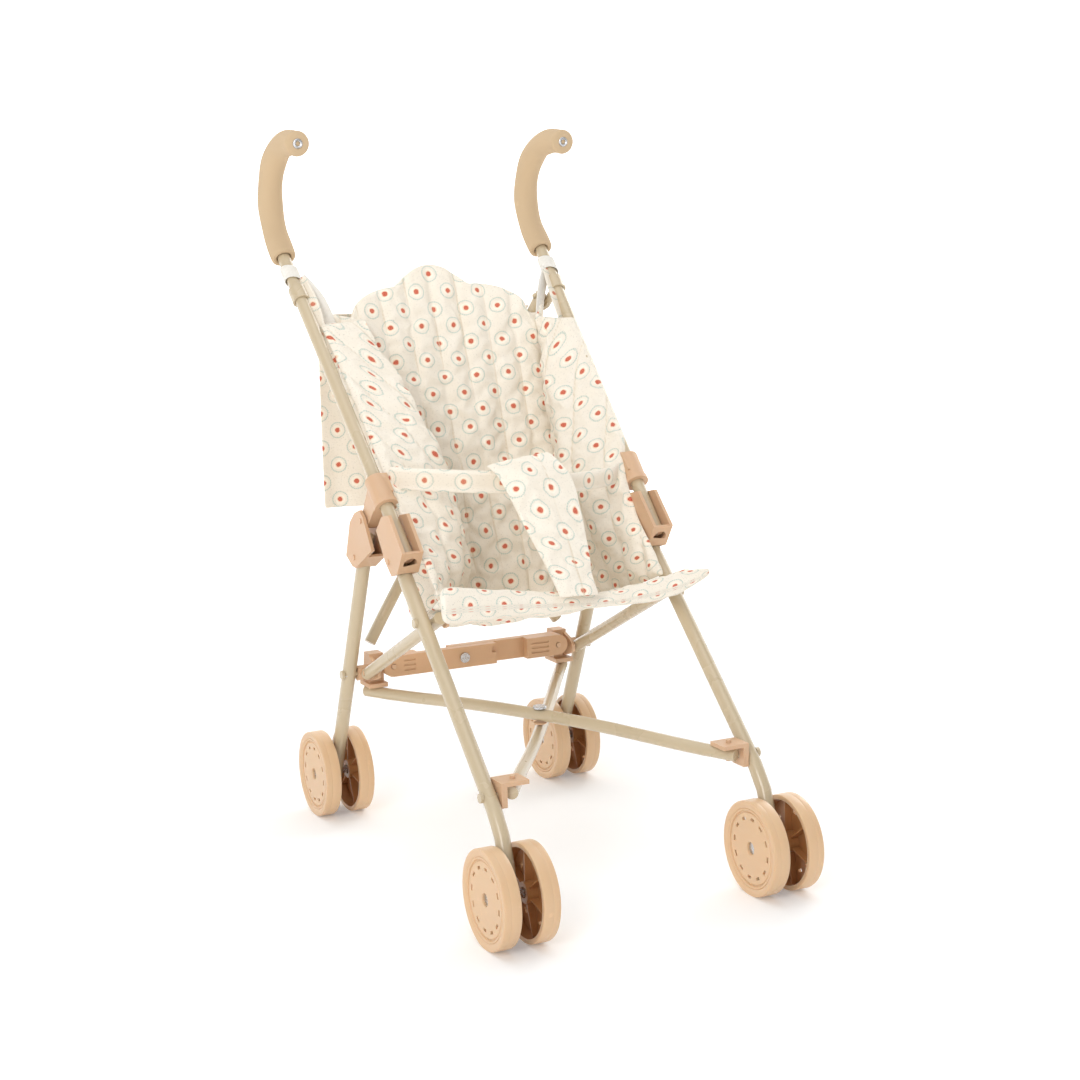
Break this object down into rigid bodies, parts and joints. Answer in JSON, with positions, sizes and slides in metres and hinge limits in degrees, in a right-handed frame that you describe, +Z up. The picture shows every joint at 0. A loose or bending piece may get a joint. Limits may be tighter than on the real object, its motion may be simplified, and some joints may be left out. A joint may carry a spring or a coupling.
{
  "type": "doll stroller",
  "caption": "Umbrella-folding doll stroller with hooked push tubes, crossed braces, paired wheels and a quilted fabric seat with scalloped back.",
  "frame": {"origin": "on the floor at the middle of the stroller's outline", "axes": "+Z up, the seat faces -Y, +X is the left hand of the doll that sits in it"},
  "size_m": [0.253, 0.4534, 0.5578],
  "materials": {
    "tube_paint": "semi-gloss powder coat, warm beige",
    "steel": "bright zinc",
    "grip_foam": "matte closed-cell foam, beige",
    "wheel_plastic": "satin moulded plastic, peach tan",
    "lock_plastic": "satin moulded plastic, darker peach",
    "bracket_plastic": "satin moulded plastic, peach",
    "cotton_tape": "plain white cotton tape",
    "printed_cotton": "quilted cream cotton with a small dot and ring print"
  },
  "bodies": {
    "seat_fabric": {"seat_back": "printed_cotton", "seat_pan": "printed_cotton", "side_panel_left": "printed_cotton", "side_panel_right": "printed_cotton", "back_flap": "printed_cotton", "waist_strap_left": "printed_cotton", "waist_strap_right": "printed_cotton", "crotch_strap": "printed_cotton"},
    "push_left": {"push_tube_left": "tube_paint", "grip_left": "grip_foam", "grip_plug_left": "steel", "tube_end_cap_left": "bracket_plastic", "collar_left": "bracket_plastic", "tie_loop_left": "cotton_tape", "upper_bracket_left": "tube_paint"},
    "rear_leg_left": {"rear_leg_left": "tube_paint", "rear_joint_left": "bracket_plastic", "axle_rear_left": "steel"},
    "rear_bracket_left": {"rear_bracket_left": "bracket_plastic"},
    "seat_rail_left": {"seat_rail_left": "tube_paint"},
    "front_leg_left": {"front_leg_left": "tube_paint", "front_joint_left": "bracket_plastic", "rail_clip_left": "bracket_plastic", "axle_front_left": "steel"},
    "front_bracket_left": {"front_bracket_left": "bracket_plastic"},
    "lock_half_left": {"lock_bar_left": "lock_plastic"},
    "back_brace_front": {"back_brace_front": "tube_paint", "back_cross_rivet": "steel"},
    "base_brace_upper": {"base_brace_upper": "tube_paint", "base_cross_screw": "steel", "base_cross_spacer": "bracket_plastic"},
    "wheel_front_left_outer": {"wheel_front_left_outer": "wheel_plastic"},
    "wheel_front_left_inner": {"wheel_front_left_inner": "wheel_plastic"},
    "wheel_rear_left_outer": {"wheel_rear_left_outer": "wheel_plastic"},
    "wheel_rear_left_inner": {"wheel_rear_left_inner": "wheel_plastic"},
    "push_right": {"push_tube_right": "tube_paint", "grip_right": "grip_foam", "grip_plug_right": "steel", "tube_end_cap_right": "bracket_plastic", "collar_right": "bracket_plastic", "tie_loop_right": "cotton_tape", "upper_bracket_right": "tube_paint"},
    "rear_leg_right": {"rear_leg_right": "tube_paint", "rear_joint_right": "bracket_plastic", "axle_rear_right": "steel"},
    "rear_bracket_right": {"rear_bracket_right": "bracket_plastic"},
    "seat_rail_right": {"seat_rail_right": "tube_paint"},
    "front_leg_right": {"front_leg_right": "tube_paint", "front_joint_right": "bracket_plastic", "rail_clip_right": "bracket_plastic", "axle_front_right": "steel"},
    "front_bracket_right": {"front_bracket_right": "bracket_plastic"},
    "lock_half_right": {"lock_bar_right": "lock_plastic", "lock_rivet": "steel"},
    "back_brace_rear": {"back_brace_rear": "tube_paint"},
    "base_brace_lower": {"base_brace_lower": "tube_paint"},
    "wheel_front_right_outer": {"wheel_front_right_outer": "wheel_plastic"},
    "wheel_front_right_inner": {"wheel_front_right_inner": "wheel_plastic"},
    "wheel_rear_right_outer": {"wheel_rear_right_outer": "wheel_plastic"},
    "wheel_rear_right_inner": {"wheel_rear_right_inner": "wheel_plastic"}
  },
  "joints": [
    {"name": "fold", "type": "slide", "parent": "seat_fabric", "child": "push_left", "axis": [-1, 0, 0], "range_m": [0, 0.058], "deforming": ["seat_back", "seat_pan", "side_panel_left", "side_panel_right", "back_flap", "waist_strap_left", "waist_strap_right", "crotch_strap"]},
    {"name": "rear_leg_left_turn", "type": "hinge", "parent": "push_left", "child": "rear_leg_left", "pos_m": [0.105, 0.0447, 0.26], "axis": [1, 0, 0], "range_deg": [-83.66, 0]},
    {"name": "rear_bracket_left_turn", "type": "hinge", "parent": "rear_leg_left", "child": "rear_bracket_left", "pos_m": [0.094, 0.1057, 0.126], "axis": [1, 0, 0], "range_deg": [0, 98.16]},
    {"name": "seat_rail_left_turn", "type": "hinge", "parent": "rear_bracket_left", "child": "seat_rail_left", "pos_m": [0.0941, 0.0907, 0.129], "axis": [1, 0, 0], "range_deg": [0, 19.91]},
    {"name": "front_leg_left_turn", "type": "hinge", "parent": "seat_rail_left", "child": "front_leg_left", "pos_m": [0.105, -0.0528, 0.1974], "axis": [1, 0, 0], "range_deg": [-42.77, 0]},
    {"name": "front_bracket_left_turn", "type": "hinge", "parent": "front_leg_left", "child": "front_bracket_left", "pos_m": [0.097, -0.1611, 0.0952], "axis": [1, 0, 0], "range_deg": [0, 23.16]},
    {"name": "base_brace_upper_turn", "type": "hinge", "parent": "front_bracket_left", "child": "base_brace_upper", "pos_m": [0.087, -0.1609, 0.0972], "axis": [0, -0.044, 0.999], "range_deg": [-22.86, 0]},
    {"name": "back_brace_front_turn", "type": "hinge", "parent": "push_left", "child": "back_brace_front", "pos_m": [0.1, 0.1629, 0.416], "axis": [-0.7624, -0.2823, 0.5823], "range_deg": [0, 41.6]},
    {"name": "lock_half_left_turn", "type": "hinge", "parent": "rear_bracket_left", "child": "lock_half_left", "pos_m": [0.074, 0.0947, 0.132], "axis": [0, 1, 0], "range_deg": [0, 77.81]},
    {"name": "wheel_front_left_outer_spin", "type": "hinge", "parent": "front_leg_left", "child": "wheel_front_left_outer", "pos_m": [0.1194, -0.1923, 0.0347], "axis": [1, 0, 0], "continuous": true},
    {"name": "wheel_front_left_inner_spin", "type": "hinge", "parent": "front_leg_left", "child": "wheel_front_left_inner", "pos_m": [0.0906, -0.1923, 0.0347], "axis": [1, 0, 0], "continuous": true},
    {"name": "wheel_rear_left_outer_spin", "type": "hinge", "parent": "rear_leg_left", "child": "wheel_rear_left_outer", "pos_m": [0.1194, 0.1482, 0.0347], "axis": [1, 0, 0], "continuous": true},
    {"name": "wheel_rear_left_inner_spin", "type": "hinge", "parent": "rear_leg_left", "child": "wheel_rear_left_inner", "pos_m": [0.0906, 0.1482, 0.0347], "axis": [1, 0, 0], "continuous": true},
    {"name": "fold_right", "type": "slide", "parent": "seat_fabric", "child": "push_right", "axis": [1, 0, 0], "range_m": [0, 0.058]},
    {"name": "rear_leg_right_turn", "type": "hinge", "parent": "push_right", "child": "rear_leg_right", "pos_m": [-0.105, 0.0447, 0.26], "axis": [1, 0, 0], "range_deg": [-83.66, 0]},
    {"name": "rear_bracket_right_turn", "type": "hinge", "parent": "rear_leg_right", "child": "rear_bracket_right", "pos_m": [-0.094, 0.1057, 0.126], "axis": [1, 0, 0], "range_deg": [0, 98.16]},
    {"name": "seat_rail_right_turn", "type": "hinge", "parent": "rear_bracket_right", "child": "seat_rail_right", "pos_m": [-0.0941, 0.0907, 0.129], "axis": [1, 0, 0], "range_deg": [0, 19.91]},
    {"name": "front_leg_right_turn", "type": "hinge", "parent": "seat_rail_right", "child": "front_leg_right", "pos_m": [-0.105, -0.0528, 0.1974], "axis": [1, 0, 0], "range_deg": [-42.77, 0]},
    {"name": "front_bracket_right_turn", "type": "hinge", "parent": "front_leg_right", "child": "front_bracket_right", "pos_m": [-0.097, -0.1611, 0.0952], "axis": [1, 0, 0], "range_deg": [0, 23.16]},
    {"name": "base_brace_lower_turn", "type": "hinge", "parent": "front_bracket_right", "child": "base_brace_lower", "pos_m": [-0.087, -0.1609, 0.0972], "axis": [0, -0.044, 0.999], "range_deg": [0, 22.86]},
    {"name": "back_brace_rear_turn", "type": "hinge", "parent": "push_right", "child": "back_brace_rear", "pos_m": [-0.1, 0.1629, 0.416], "axis": [-0.7624, 0.2823, -0.5823], "range_deg": [0, 41.6]},
    {"name": "lock_half_right_turn", "type": "hinge", "parent": "rear_bracket_right", "child": "lock_half_right", "pos_m": [-0.074, 0.0947, 0.132], "axis": [0, 1, 0], "range_deg": [-77.81, 0]},
    {"name": "wheel_front_right_outer_spin", "type": "hinge", "parent": "front_leg_right", "child": "wheel_front_right_outer", "pos_m": [-0.1194, -0.1923, 0.0347], "axis": [1, 0, 0], "continuous": true},
    {"name": "wheel_front_right_inner_spin", "type": "hinge", "parent": "front_leg_right", "child": "wheel_front_right_inner", "pos_m": [-0.0906, -0.1923, 0.0347], "axis": [1, 0, 0], "continuous": true},
    {"name": "wheel_rear_right_outer_spin", "type": "hinge", "parent": "rear_leg_right", "child": "wheel_rear_right_outer", "pos_m": [-0.1194, 0.1482, 0.0347], "axis": [1, 0, 0], "continuous": true},
    {"name": "wheel_rear_right_inner_spin", "type": "hinge", "parent": "rear_leg_right", "child": "wheel_rear_right_inner", "pos_m": [-0.0906, 0.1482, 0.0347], "axis": [1, 0, 0], "continuous": true}
  ],
  "couplings": [
    {"joint": "rear_leg_left_turn", "follows": "fold", "rad_per_m": -25.086},
    {"joint": "rear_bracket_left_turn", "follows": "fold", "rad_per_m": 29.448},
    {"joint": "seat_rail_left_turn", "follows": "fold", "rad_per_m": 5.9004},
    {"joint": "front_leg_left_turn", "follows": "fold", "rad_per_m": -12.779},
    {"joint": "front_bracket_left_turn", "follows": "fold", "rad_per_m": 6.8793},
    {"joint": "base_brace_upper_turn", "follows": "fold", "rad_per_m": -6.7884},
    {"joint": "back_brace_front_turn", "follows": "fold", "rad_per_m": 12.428},
    {"joint": "lock_half_left_turn", "follows": "fold", "rad_per_m": 23.325},
    {"joint": "fold_right", "follows": "fold", "ratio": 1},
    {"joint": "rear_leg_right_turn", "follows": "fold", "rad_per_m": -25.086},
    {"joint": "rear_bracket_right_turn", "follows": "fold", "rad_per_m": 29.448},
    {"joint": "seat_rail_right_turn", "follows": "fold", "rad_per_m": 5.9004},
    {"joint": "front_leg_right_turn", "follows": "fold", "rad_per_m": -12.779},
    {"joint": "front_bracket_right_turn", "follows": "fold", "rad_per_m": 6.8793},
    {"joint": "base_brace_lower_turn", "follows": "fold", "rad_per_m": 6.7884},
    {"joint": "back_brace_rear_turn", "follows": "fold", "rad_per_m": 12.428},
    {"joint": "lock_half_right_turn", "follows": "fold", "rad_per_m": -23.325}
  ]
}
